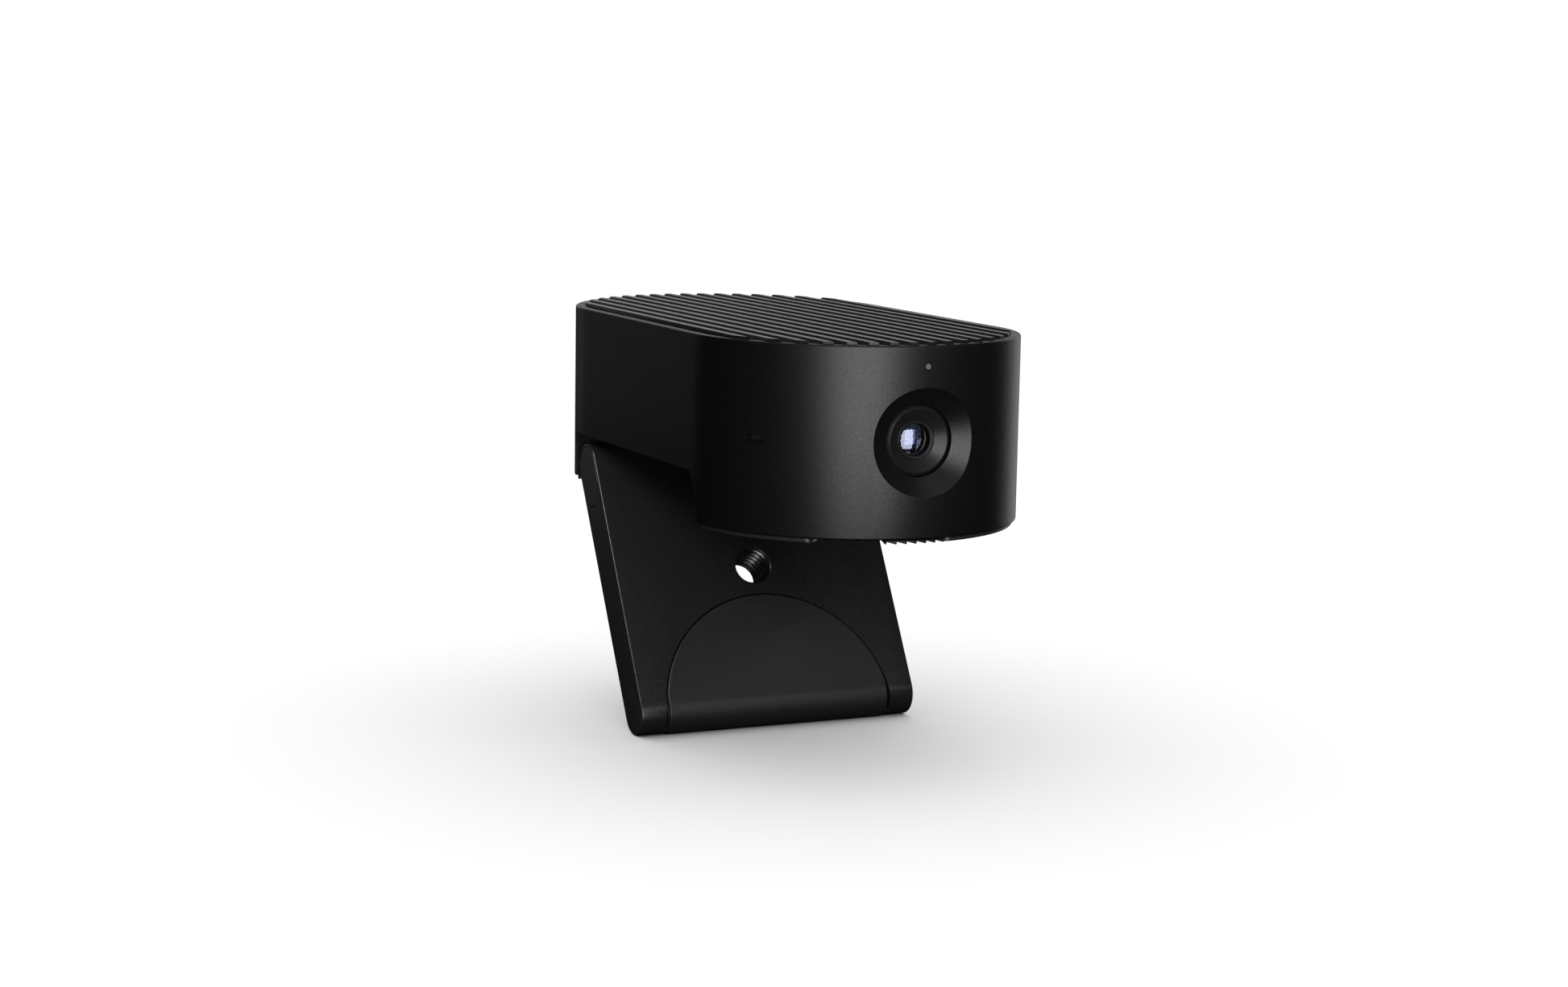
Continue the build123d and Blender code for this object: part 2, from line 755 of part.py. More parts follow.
with BuildPart() as hinge_washers:
    for low_x in (-notch_half + 0.02, block_half + 0.05):
        with BuildSketch(side_plane(low_x + 0.53, hinge)):
            Circle(3.2)
            Circle(pin_radius + 0.03, mode=Mode.SUBTRACT)
        extrude(amount=0.53)
hinge_washers.part.label = "hinge_washers"
export_step(hinge_washers.part, "parts/hinge_washers.step")

# ================= LEG =================


def leg_cap_sketch_plane(x):
    """Plane on the leg's side, centred on the cap over the hinge pin."""
    return leg_side(x, (hinge_s + cap_s) / 2)


with BuildPart() as leg_plate:
    with BuildSketch(leg_side(leg_half_width, (hinge_s + foot_s) / 2)):
        SlotCenterToCenter(foot_s - hinge_s, leg_thickness)
    extrude(amount=2 * leg_half_width)
    fillet(leg_plate.faces().sort_by(Axis.X)[0].edges(), 0.3)
    fillet(leg_plate.faces().sort_by(Axis.X)[-1].edges(), 0.3)
    # Notch for the hinge block.
    with BuildSketch(leg_side(notch_half, hinge_s)):
        Circle(4.3)
        with Locations((-3, 0)):
            Rectangle(6, 9)
        with Locations((0, 3)):
            Rectangle(8.6, 6)
    extrude(amount=2 * notch_half, mode=Mode.SUBTRACT)
    # Hinge pin bore and the two cap pockets.
    with BuildSketch(side_plane(leg_half_width, hinge)):
        Circle(pin_radius + 0.02)
    extrude(amount=2 * leg_half_width, mode=Mode.SUBTRACT)
    for low_x in (-leg_half_width, leg_half_width - cap_depth):
        with BuildSketch(leg_cap_sketch_plane(low_x + cap_depth)):
            SlotCenterToCenter(cap_s - hinge_s, 2 * (cap_radius + 0.1))
        extrude(amount=cap_depth, mode=Mode.SUBTRACT)
    # Seat for the threaded insert, pressed in from behind.
    with BuildSketch(leg_face(thread_s, leg_thickness + 1)):
        Circle(insert_radius + 0.02)
    extrude(amount=leg_thickness + 1 - 0.6, mode=Mode.SUBTRACT)
    with BuildSketch(leg_face(thread_s, leg_thickness)):
        Circle(thread_radius + 0.02)
    extrude(amount=leg_thickness + 1, mode=Mode.SUBTRACT)
    with BuildSketch(leg_face(thread_s, 0.2)):
        Circle(thread_radius + 0.02)
    extrude(amount=0.2, taper=-46, mode=Mode.SUBTRACT)
    # Recess for the folded foot flap and the gap round its knuckle.
    with BuildSketch(leg_face(flap_centre_s, flap_recess)):
        Circle(flap_radius + flap_gap)
    extrude(amount=flap_recess + 1, mode=Mode.SUBTRACT)
    with BuildSketch(leg_side(flap_radius + flap_gap, foot_s)):
        Circle(4.3)
        with Locations((4, 0)):
            Rectangle(8, 10)
    extrude(amount=2 * (flap_radius + flap_gap), mode=Mode.SUBTRACT)
    with BuildSketch(side_plane(24.6, foot)):
        Circle(foot_pin_radius + 0.02)
    extrude(amount=49.2, mode=Mode.SUBTRACT)
    # Pocket for the magnet that holds the flap shut.
    with BuildSketch(leg_face(magnet_s, flap_recess + 1.25)):
        Circle(3.05)
    extrude(amount=1.3, mode=Mode.SUBTRACT)
leg_plate.part.label = "leg_plate"
export_step(leg_plate.part, "parts/leg_plate.step")

with BuildPart() as left_cap:
    with BuildSketch(leg_cap_sketch_plane(-leg_half_width + cap_depth - 0.05)):
        SlotCenterToCenter(cap_s - hinge_s, 2 * cap_radius)
    extrude(amount=cap_depth - 0.05)
left_cap.part.label = "left_cap"
export_step(left_cap.part, "parts/left_cap.step")

with BuildPart() as right_cap:
    with BuildSketch(leg_cap_sketch_plane(leg_half_width)):
        SlotCenterToCenter(cap_s - hinge_s, 2 * cap_radius)
    extrude(amount=cap_depth - 0.05)
right_cap.part.label = "right_cap"
export_step(right_cap.part, "parts/right_cap.step")

with BuildPart() as thread_insert:
    with BuildSketch(leg_face(thread_s, leg_thickness)):
        Circle(insert_radius)
        Circle(thread_radius, mode=Mode.SUBTRACT)
    extrude(amount=leg_thickness - 0.6)
thread_insert.part.label = "thread_insert"
export_step(thread_insert.part, "parts/thread_insert.step")

with BuildPart() as foot_pin:
    with BuildSketch(side_plane(24.5, foot)):
        Circle(foot_pin_radius)
    extrude(amount=49)
foot_pin.part.label = "foot_pin"
export_step(foot_pin.part, "parts/foot_pin.step")

with BuildPart() as leg_magnet:
    with BuildSketch(leg_face(magnet_s, flap_recess + 1.2)):
        Circle(3.0)
    extrude(amount=1.2)
leg_magnet.part.label = "leg_magnet"
export_step(leg_magnet.part, "parts/leg_magnet.step")

# ================= FOOT FLAP =================


def flap_slab(d_outer, d_inner):
    """The flap's half-disc between two depths, down to the foot axis."""
    with BuildPart() as slab:
        with BuildSketch(leg_face(flap_centre_s, d_inner)):
            Circle(flap_radius)
            with Locations((0, flap_centre_s - foot_s - 25)):
                Rectangle(60, 50, mode=Mode.SUBTRACT)
        extrude(amount=d_inner - d_outer)
    return slab.part


knuckle_half = math.sqrt(flap_radius**2 - (flap_centre_s - foot_s) ** 2)

with BuildPart() as flap_plate:
    add(flap_slab(skin_thickness - skin_proud, flap_depth))
    with BuildSketch(side_plane(knuckle_half, foot)):
        Circle(leg_radius + skin_proud - skin_thickness)
    extrude(amount=2 * knuckle_half)
    with BuildSketch(side_plane(30, foot)):
        Circle(foot_pin_radius + run_clearance)
    extrude(amount=60, mode=Mode.SUBTRACT)
    with BuildSketch(leg_face(magnet_s, flap_depth)):
        Circle(3.05)
    extrude(amount=0.85, mode=Mode.SUBTRACT)
flap_plate.part.label = "flap_plate"
export_step(flap_plate.part, "parts/flap_plate.step")

with BuildPart() as flap_skin:
    with BuildSketch(side_plane(knuckle_half, foot)):
        Circle(leg_radius + skin_proud)
        Circle(leg_radius + skin_proud - skin_thickness, mode=Mode.SUBTRACT)
    extrude(amount=2 * knuckle_half)
    with BuildSketch(leg_side(knuckle_half, foot_s)):
        with Locations((-5, 0)):
            Rectangle(10, 12)
    extrude(amount=2 * knuckle_half, mode=Mode.SUBTRACT)
    add(flap_slab(-skin_proud, skin_thickness - skin_proud))
    # Narrow flat that the stand rests on.
    with BuildSketch(Plane.XY.offset(foot.Z - foot_flat - 5)):
        Rectangle(80, 80)
    extrude(amount=5, mode=Mode.SUBTRACT)
flap_skin.part.label = "flap_skin"
export_step(flap_skin.part, "parts/flap_skin.step")

with BuildPart() as flap_keeper:
    with BuildSketch(leg_face(magnet_s, flap_depth)):
        Circle(3.0)
    extrude(amount=0.8)
flap_keeper.part.label = "flap_keeper"
export_step(flap_keeper.part, "parts/flap_keeper.step")
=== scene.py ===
import json
import math

import bmesh
import bpy
from mathutils import Matrix, Vector


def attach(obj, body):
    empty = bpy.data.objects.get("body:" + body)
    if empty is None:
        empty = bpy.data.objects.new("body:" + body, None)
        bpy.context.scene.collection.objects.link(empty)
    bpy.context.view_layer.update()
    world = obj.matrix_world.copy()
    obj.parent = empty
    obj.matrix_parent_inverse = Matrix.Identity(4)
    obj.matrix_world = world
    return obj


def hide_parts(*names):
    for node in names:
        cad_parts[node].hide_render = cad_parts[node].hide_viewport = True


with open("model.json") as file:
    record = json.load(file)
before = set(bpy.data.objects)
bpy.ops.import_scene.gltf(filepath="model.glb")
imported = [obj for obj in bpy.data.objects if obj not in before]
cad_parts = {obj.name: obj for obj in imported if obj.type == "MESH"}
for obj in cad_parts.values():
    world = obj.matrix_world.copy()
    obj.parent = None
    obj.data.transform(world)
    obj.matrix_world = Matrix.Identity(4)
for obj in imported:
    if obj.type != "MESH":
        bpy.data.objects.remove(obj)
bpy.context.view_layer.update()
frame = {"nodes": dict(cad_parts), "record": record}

MM = 0.001
SMOOTH_ANGLE = 30.0
# Angles over a quarter turn, in degrees
FINE_QUARTER = (0, 18, 36, 54, 72, 90)
QUARTER = (0, 22, 45, 68, 90)
ACROSS = (1, 0, 0)
BACKWARD = (0, 1, 0)
UP = (0, 0, 1)

# ---------------------------------------------------------------- sizes (mm)
# Head: a stadium in plan, the same from front to back
RIM_TOP = 69.625
HEAD_RADIUS = 27.0
END_Y = 23.1
WALL = 1.65
SHELL_LOW = RIM_TOP - 29.4
PLATE_LOW = SHELL_LOW - 0.7
PAST_SIDE = 30
HEAD_STEPS = 140
STRAIGHT_STEPS = 12

# Leg: places are told down its front face from the height of the rim
LEAN = math.radians(30.35)
LEG_START_Y = 38.21
LEG_HALF_WIDTH = 25.25
LEG_ROUND = 7.6 / 2
HINGE_DOWN = 29.3
THREAD_DOWN = 50.6
FOOT_DOWN = 74.0
FLAP_DOWN = 76.5
FLAP_RADIUS = 20.5
LEG_IN = Vector((0, math.cos(LEAN), -math.sin(LEAN)))

# Lens: its opening widens to an oval at the front wall
LENS_Z = RIM_TOP - 14.7
LENS_CENTRE = (0, 0, LENS_Z)
LENS_RADIUS = 3.35
PAD_RADIUS = 9.5
PAD_BACK = -46.5
PAD_FRONT = -48.85
OPENING_RADIUS = 5.57
OPENING_BACK = -45.5
CONE_BACK = -47.5
CONE_FRONT = -50.4
CONE_HALF_WIDTH = 11.75
CONE_HALF_HEIGHT = 8.63
CONE_STEPS = 160

# Recess that the folded leg lies in, open below and to both sides; its front end is rounded
RECESS_FRONT = -25.45
RECESS_REAR = 31.2
RECESS_CEILING = RIM_TOP - 21.4
RECESS_ROUND = 14.0
RECESS_ROUND_Y = -11.45
RECESS_ROUND_Z = RIM_TOP - 30.0
RECESS_ROUND_RUN = 11.05  # forward from the round's centre to the ceiling

# Openings and edges of the shell
SHELL_LOW_EDGE = 0.35
SHELL_TOP_EDGE = 0.3
MIC_ANGLE = -57.7
MIC_WIDTH = 3.2
MIC_HEIGHT = 1.1
MIC_CUT_FROM = 24.5
LAMP_Z = RIM_TOP - 3.17
SOCKET_WIDTH = 9.3
SOCKET_HEIGHT = 3.6
SOCKET_Z = RIM_TOP - 10.3
SOCKET_CUT_FROM = 47

# Heat sink
SINK_RADIUS = HEAD_RADIUS - WALL - 0.03
SINK_LOW = RIM_TOP - 6.0
SINK_FLOOR = RIM_TOP - 3.6
RIB_TOP = RIM_TOP + 0.4
RIB_COUNT = 16
RIB_PITCH = 3.1
RIB_SHAPE = ((-0.75, -0.2), (-0.70, -0.09), (-0.62, -0.02), (-0.52, 0.0),
             (0.52, 0.0), (0.62, -0.02), (0.70, -0.09), (0.75, -0.2))
SINK_SIDES = (SINK_RADIUS, 25.2, 24.9, 24.5)

# Front base plate: angles of the slider's notch are from the front, towards +X
PLATE_EDGE = 0.25
PLATE_EDGE_CENTRE = HEAD_RADIUS - 0.85
PLATE_OUTER = HEAD_RADIUS - 0.6
NOTCH_FROM = -37.15
NOTCH_TO = 8.75
NOTCH_CORNER = 1.2
NOTCH_CORNER_FROM = 25.2
NOTCH_CORNER_TO = 26.4
NOTCH_INNER = 22
NOTCH_OUTER = 29
NOTCH_LOW = SHELL_LOW - 2
NOTCH_STEPS = 32
SCREW_SPOTS = ((-12, -30), (12, -30))

# Gaps and pieces of the leg
LEG_EDGE = 0.3
LEG_GAP_ROUND = 4.3
KNUCKLE_GAP_HALF = 20.4
HINGE_GAP_HALF = 8
POCKET_RADIUS = FLAP_RADIUS + 0.25
POCKET_DEPTH = 2.9
CAP_DOWN = 31.35
CAP_RUN = 4.1
CAP_ROUND = 3.27
CAP_GAP_ROUND = 3.37
CAP_DEPTH = 0.95

# Threaded insert: distances go into the leg from its front face
THREAD_PITCH = 1.27
THREAD_BORE = 3.172
THREAD_HEIGHT = 0.42
THREAD_FROM = 0.3
THREAD_LENGTH = 7.2
THREAD_TO = 7.5
THREAD_STEPS = 120
THREAD_ROWS = 140
INSERT_OUTSIDE = ((7.6, 3.3), (7.6, 3.98), (0.62, 3.98), (0.62, 3.18), (0.3, 3.18))

# Skin of the foot flap
SKIN_OUTER = LEG_ROUND + 0.2
SKIN_INNER = LEG_ROUND - 0.4
SKIN_HALF_WIDTH = 20.15
SKIN_FROM = 54.0
SKIN_TO = 82.0


def sin_deg(turn):
    return math.sin(math.radians(turn))


def cos_deg(turn):
    return math.cos(math.radians(turn))


def leg_point(x, down, into):
    """Point in mm: down the leg's front face and into its thickness."""
    return Vector((
        x,
        LEG_START_Y - down * math.sin(LEAN) + into * math.cos(LEAN),
        RIM_TOP - down * math.cos(LEAN) - into * math.sin(LEAN),
    ))


# ---------------------------------------------------------------- mesh helpers
def make_object(name, verts, faces, smooth=True):
    """Mesh object from points in mm and faces."""
    mesh = bpy.data.meshes.new(name)
    mesh.from_pydata([Vector(v) * MM for v in verts], [], faces)
    bm = bmesh.new()
    bm.from_mesh(mesh)
    bmesh.ops.remove_doubles(bm, verts=bm.verts, dist=1e-7)
    bmesh.ops.recalc_face_normals(bm, faces=bm.faces)
    bm.to_mesh(mesh)
    bm.free()
    obj = bpy.data.objects.new(name, mesh)
    bpy.context.scene.collection.objects.link(obj)
    if smooth:
        shade_smooth(mesh)
    return obj


def shade_smooth(mesh):
    """Smooth shading that keeps the sharp edges."""
    mesh.polygons.foreach_set("use_smooth", [True] * len(mesh.polygons))
    mesh.set_sharp_from_angle(angle=math.radians(SMOOTH_ANGLE))


def bridge(rings, loop=False):
    """Faces between equal closed rings; a loop ends on its first ring, else both ends are capped."""
    n = len(rings[0])
    verts = [p for ring in rings for p in ring]
    faces = []
    count = len(rings)
    for a in range(count if loop else count - 1):
        b = (a + 1) % count
        for i in range(n):
            j = (i + 1) % n
            faces.append((a * n + i, a * n + j, b * n + j, b * n + i))
    if not loop:
        faces.append(tuple(range(n)))
        faces.append(tuple((count - 1) * n + i for i in reversed(range(n))))
    return verts, faces


def stadium(radius, z):
    """Ring of points round the head's plan."""
    ring = []
    for i in range(HEAD_STEPS + 1):
        turn = math.pi * i / HEAD_STEPS
        ring.append((radius * math.cos(turn), END_Y + radius * math.sin(turn), z))
    for i in range(1, STRAIGHT_STEPS):
        ring.append((-radius, END_Y - 2 * END_Y * i / STRAIGHT_STEPS, z))
    for i in range(HEAD_STEPS + 1):
        turn = math.pi + math.pi * i / HEAD_STEPS
        ring.append((radius * math.cos(turn), -END_Y + radius * math.sin(turn), z))
    for i in range(1, STRAIGHT_STEPS):
        ring.append((radius, -END_Y + 2 * END_Y * i / STRAIGHT_STEPS, z))
    return ring


def lathe(name, profile, centre, axis, segments=128, loop=True):
    """Turned solid: profile of (radius, distance along axis) about a centre in mm."""
    axis = Vector(axis).normalized()
    side = axis.orthogonal().normalized()
    other = axis.cross(side)
    rings = []
    for radius, along in profile:
        ring = []
        for i in range(segments):
            turn = 2 * math.pi * i / segments
            spoke = side * math.cos(turn) + other * math.sin(turn)
            ring.append(Vector(centre) + axis * along + spoke * radius)
        rings.append(ring)
    return make_object(name, *bridge(rings, loop=loop))


def prism(name, points, direction):
    """Solid swept from a closed loop of points in mm along a direction in mm."""
    direction = Vector(direction)
    rings = [[Vector(p) for p in points], [Vector(p) + direction for p in points]]
    return make_object(name, *bridge(rings))


def arc(centre, radius, start, end, steps):
    """Points (a, b) along an arc, angles in degrees."""
    points = []
    for i in range(steps + 1):
        turn = math.radians(start + (end - start) * i / steps)
        points.append((centre[0] + radius * math.cos(turn), centre[1] + radius * math.sin(turn)))
    return points


def rectangle(a_from, a_to, b_low, b_high):
    """Corners (a, b) of a rectangle."""
    return [(a_from, b_low), (a_to, b_low), (a_to, b_high), (a_from, b_high)]


def slot_loop(width, height, steps=24):
    """Points of a pill shape about (0, 0), long way first."""
    r = height / 2
    half = width / 2 - r
    return arc((half, 0), r, -90, 90, steps) + arc((-half, 0), r, 90, 270, steps)


def on_plane(points, origin, u, v):
    """Points (a, b) set on the plane through origin along u and v."""
    origin, u, v = Vector(origin), Vector(u), Vector(v)
    return [origin + u * a + v * b for a, b in points]


def carve(obj, cutters, operation="DIFFERENCE"):
    """Booleans each cutter out of (or into) obj and removes the cutters."""
    for cutter in cutters:
        mod = obj.modifiers.new("cut", "BOOLEAN")
        mod.operation = operation
        mod.solver = "EXACT"
        mod.object = cutter
        bpy.context.view_layer.update()
        graph = bpy.context.evaluated_depsgraph_get()
        mesh = bpy.data.meshes.new_from_object(obj.evaluated_get(graph))
        obj.modifiers.clear()
        old = obj.data
        obj.data = mesh
        bpy.data.meshes.remove(old)
        bpy.data.objects.remove(cutter)
    tidy_mesh(obj.data)
    return obj


def tidy_mesh(mesh):
    """Merges what a boolean left doubled or without area."""
    bm = bmesh.new()
    bm.from_mesh(mesh)
    bmesh.ops.remove_doubles(bm, verts=bm.verts, dist=2e-6)
    bmesh.ops.dissolve_degenerate(bm, edges=bm.edges, dist=1e-6)
    bm.to_mesh(mesh)
    bm.free()
    shade_smooth(mesh)


def soften(obj, width, angle=35.0, segments=2):
    """Small rounded edges, in mm."""
    mod = obj.modifiers.new("edges", "BEVEL")
    mod.width = width * MM
    mod.segments = segments
    mod.limit_method = "ANGLE"
    mod.angle_limit = math.radians(angle)
    mod.harden_normals = True
    mod.use_clamp_overlap = True
    return obj


def place(obj, body, material, slot, *nodes):
    """Rides obj on a body, gives it its material and hides the nodes it stands for."""
    obj.data.materials.clear()
    obj.data.materials.append(material)
    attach(obj, body)
    if nodes:
        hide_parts(*nodes)
    return obj


# ---------------------------------------------------------------- materials
FINISH = "fin_"
# Grain of the blasted finish: noise scale, and relief in metres
GRAIN = 9000
GRAIN_DEPTH = 0.000015
GLASS_INDEX = 1.52


def new_material(name, color, rough, metallic=0.0, specular=0.5):
    material = bpy.data.materials.new(FINISH + name)
    material.use_nodes = True
    tree = material.node_tree
    shader = tree.nodes["Principled BSDF"]
    shader.inputs["Base Color"].default_value = (*color, 1)
    shader.inputs["Roughness"].default_value = rough
    shader.inputs["Metallic"].default_value = metallic
    shader.inputs["Specular IOR Level"].default_value = specular
    return material, tree, shader


def add_noise(tree, scale, detail=4.0, rough=0.55, stretch=(1, 1, 1)):
    """Noise in the object's own metres."""
    coords = tree.nodes.new("ShaderNodeTexCoord")
    mapping = tree.nodes.new("ShaderNodeMapping")
    mapping.inputs["Scale"].default_value = stretch
    noise = tree.nodes.new("ShaderNodeTexNoise")
    noise.inputs["Scale"].default_value = scale
    noise.inputs["Detail"].default_value = detail
    noise.inputs["Roughness"].default_value = rough
    tree.links.new(coords.outputs["Object"], mapping.inputs["Vector"])
    tree.links.new(mapping.outputs["Vector"], noise.inputs["Vector"])
    return noise


def ramp(tree, source, low, high, at=(0.35, 0.65)):
    """Colour between two values of a noise."""
    node = tree.nodes.new("ShaderNodeValToRGB")
    node.color_ramp.elements[0].position = at[0]
    node.color_ramp.elements[1].position = at[1]
    node.color_ramp.elements[0].color = (*low, 1)
    node.color_ramp.elements[1].color = (*high, 1)
    tree.links.new(source, node.inputs["Fac"])
    return node.outputs["Color"]


def add_bump(tree, shader, height, strength, distance):
    bump = tree.nodes.new("ShaderNodeBump")
    bump.inputs["Strength"].default_value = strength
    bump.inputs["Distance"].default_value = distance
    tree.links.new(height, bump.inputs["Height"])
    tree.links.new(bump.outputs["Normal"], shader.inputs["Normal"])


def grey(value):
    return (value, value, value)


def blasted_metal(name, base, rough):
    """Bead-blasted black anodised metal: fine speckle in colour, gloss and relief."""
    material, tree, shader = new_material(name, grey(base), rough)
    fine = add_noise(tree, GRAIN, 3.0, 0.6)
    dark = (base * 0.5, base * 0.5, base * 0.52)
    light = (base * 1.7, base * 1.7, base * 1.7 * 1.06)
    color = ramp(tree, fine.outputs["Fac"], dark, light, (0.36, 0.66))
    tree.links.new(color, shader.inputs["Base Color"])
    grains = add_noise(tree, GRAIN * 0.8, 2.0, 0.7)
    gloss = ramp(tree, grains.outputs["Fac"], grey(rough - 0.06), grey(rough + 0.07))
    tree.links.new(gloss, shader.inputs["Roughness"])
    add_bump(tree, shader, grains.outputs["Fac"], 0.9, GRAIN_DEPTH)
    return material


def plain_finish(name, color, rough, metallic=0.0, scale=900, amount=0.12, depth=0.00001,
                 stretch=(1, 1, 1)):
    """Moulded or machined finish with slight variation of colour, gloss and relief."""
    material, tree, shader = new_material(name, color, rough, metallic)
    noise = add_noise(tree, scale, stretch=stretch)
    low = tuple(c * (1 - amount) for c in color)
    high = tuple(min(1, c * (1 + amount)) for c in color)
    tree.links.new(ramp(tree, noise.outputs["Fac"], low, high), shader.inputs["Base Color"])
    gloss = ramp(tree, noise.outputs["Fac"], grey(max(0.02, rough - 0.05)), grey(rough + 0.05))
    tree.links.new(gloss, shader.inputs["Roughness"])
    add_bump(tree, shader, noise.outputs["Fac"], 0.4, depth)
    return material


def glass(name, tint):
    material, tree, shader = new_material(name, tint, 0.015)
    shader.inputs["Transmission Weight"].default_value = 1.0
    shader.inputs["IOR"].default_value = GLASS_INDEX
    noise = add_noise(tree, 900, 2.0, 0.5)
    gloss = ramp(tree, noise.outputs["Fac"], grey(0.008), grey(0.025))
    tree.links.new(gloss, shader.inputs["Roughness"])
    return material


SHELL = blasted_metal("shell_black", 0.005, 0.41)
SINK = blasted_metal("sink_black", 0.012, 0.34)
TRAY = blasted_metal("tray_black", 0.010, 0.45)
LEG = blasted_metal("leg_black", 0.010, 0.31)
CAP = plain_finish("cap_black", (0.012, 0.012, 0.013), 0.34, scale=5200, amount=0.3)
PLATE = plain_finish("plate_dark", (0.05, 0.05, 0.052), 0.42, metallic=0.5, scale=6000, amount=0.2)
SKIN = plain_finish("soft_skin", (0.0105, 0.0105, 0.011), 0.46, scale=4800, amount=0.35, depth=0.00002)
INSERT = plain_finish("insert_dark", (0.07, 0.07, 0.072), 0.24, metallic=0.9, scale=3000,
                      stretch=(1, 1, 6))
BEZEL = plain_finish("bezel_black", (0.014, 0.014, 0.0145), 0.36, scale=8000, amount=0.2)
BARREL = plain_finish("barrel_black", (0.004, 0.004, 0.005), 0.25, scale=2500, amount=0.3)
BLADE = plain_finish("blade_black", (0.01, 0.01, 0.01), 0.5, scale=4000, amount=0.3)
TAB = plain_finish("tab_black", (0.006, 0.006, 0.0062), 0.5, scale=4200, amount=0.3)
PIPE = plain_finish("pipe_clear", (0.17, 0.172, 0.175), 0.25, scale=2000, amount=0.1)
STEEL = plain_finish("pin_steel", (0.5, 0.5, 0.52), 0.28, metallic=1.0, scale=1500,
                     stretch=(0.1, 1, 1))
SCREW = plain_finish("screw_steel", (0.06, 0.06, 0.065), 0.35, metallic=0.9, scale=2500)
BRASS = plain_finish("washer_brass", (0.62, 0.45, 0.2), 0.3, metallic=1.0, scale=1500)
NICKEL = plain_finish("magnet_nickel", (0.6, 0.6, 0.6), 0.2, metallic=1.0, scale=1500)
BLOCK = blasted_metal("block_black", 0.02, 0.38)
COPPER = plain_finish("spreader_copper", (0.62, 0.3, 0.2), 0.3, metallic=1.0, scale=1500)
INNER = plain_finish("inner_plastic", (0.02, 0.02, 0.02), 0.5, scale=2000)
BOARD = plain_finish("board_green", (0.01, 0.07, 0.03), 0.35, scale=1200)
CHIP = plain_finish("chip_black", (0.012, 0.012, 0.012), 0.5, scale=3000)
FILM = plain_finish("flex_film", (0.35, 0.17, 0.04), 0.35, scale=1200)
PAD = plain_finish("pad_grey", (0.4, 0.4, 0.42), 0.7, scale=1500)
CAN = plain_finish("can_steel", (0.55, 0.55, 0.55), 0.3, metallic=1.0, scale=1500)
SOCKET = plain_finish("socket_steel", (0.4, 0.4, 0.41), 0.25, metallic=1.0, scale=1500)
GASKET = plain_finish("gasket_rubber", (0.032, 0.032, 0.032), 0.42, scale=2500)
SENSOR = plain_finish("sensor_dark", (0.02, 0.02, 0.03), 0.12, scale=1500)
LAMP = plain_finish("lamp_white", (0.7, 0.7, 0.66), 0.3, scale=1500)
GLASS = glass("lens_glass", (0.42, 0.46, 0.62))
FILTER = glass("filter_glass", (0.6, 0.8, 0.95))

BY_SLOT = {m.name[len(FINISH):]: m for m in (
    SHELL, SINK, TRAY, LEG, CAP, PLATE, SKIN, INSERT, BEZEL, BARREL, BLADE, TAB, PIPE, STEEL, SCREW,
    BRASS, NICKEL, BLOCK, COPPER, INNER, BOARD, CHIP, FILM, PAD, CAN, SOCKET, GASKET, SENSOR, LAMP,
    GLASS, FILTER)}
BY_SLOT["holder_black"] = BLOCK

for entry in frame["record"]["subparts"]:
    node = frame["nodes"][entry["node"]]
    # The microphone sits right behind its slot, under a dust screen as dark as the gasket.
    material = GASKET if entry["node"] == "microphone" else BY_SLOT[entry["material_slot"]]
    for holder in node.material_slots:
        holder.material = material


# ---------------------------------------------------------------- camera head
def front_arc(angle, radius, z):
    """Point about the centre of the front round end, at an angle from the front towards +X."""
    return Vector((radius * sin_deg(angle), -END_Y - radius * cos_deg(angle), z))


def across_head(name, outline):
    """Solid over the head's whole width from a side outline (y, z)."""
    return prism(name, [(-PAST_SIDE, y, z) for y, z in outline], (2 * PAST_SIDE, 0, 0))


def recess_loop():
    """Side outline (y, z) of the space that the folded leg lies in."""
    start = math.degrees(math.acos(-RECESS_ROUND_RUN / RECESS_ROUND))
    points = arc((RECESS_ROUND_Y, RECESS_ROUND_Z), RECESS_ROUND, start, 180, 28)
    return points + [(RECESS_FRONT, SHELL_LOW - 3), (RECESS_REAR, SHELL_LOW - 3),
                     (RECESS_REAR, RECESS_CEILING)]


# Shell: outline (radius, z) up the outside, over the rim and down the inside
shell_profile = []
for t in QUARTER:
    shell_profile.append((HEAD_RADIUS - SHELL_LOW_EDGE + SHELL_LOW_EDGE * sin_deg(t),
                          SHELL_LOW + SHELL_LOW_EDGE - SHELL_LOW_EDGE * cos_deg(t)))
for t in FINE_QUARTER:
    shell_profile.append((HEAD_RADIUS - SHELL_TOP_EDGE + SHELL_TOP_EDGE * cos_deg(t),
                          RIM_TOP - SHELL_TOP_EDGE + SHELL_TOP_EDGE * sin_deg(t)))
shell_profile += [(HEAD_RADIUS - WALL + 0.12, RIM_TOP), (HEAD_RADIUS - WALL + 0.035, RIM_TOP - 0.035),
                  (HEAD_RADIUS - WALL, RIM_TOP - 0.12), (HEAD_RADIUS - WALL, SHELL_LOW)]
shell_rings = [stadium(r, z) for r, z in shell_profile]
shell = make_object("shell_body", *bridge(shell_rings, loop=True))

# Thicker wall round the lens opening; it ends inside the curved wall
pad = lathe("pad", [(PAD_RADIUS, PAD_BACK), (PAD_RADIUS, PAD_FRONT)], LENS_CENTRE, BACKWARD, loop=False)
limit_rings = [stadium(HEAD_RADIUS - WALL / 2, z) for z in (SHELL_LOW, RIM_TOP)]
pad_limit = make_object("pad_limit", *bridge(limit_rings))
carve(pad, [pad_limit], "INTERSECT")
carve(shell, [pad], "UNION")

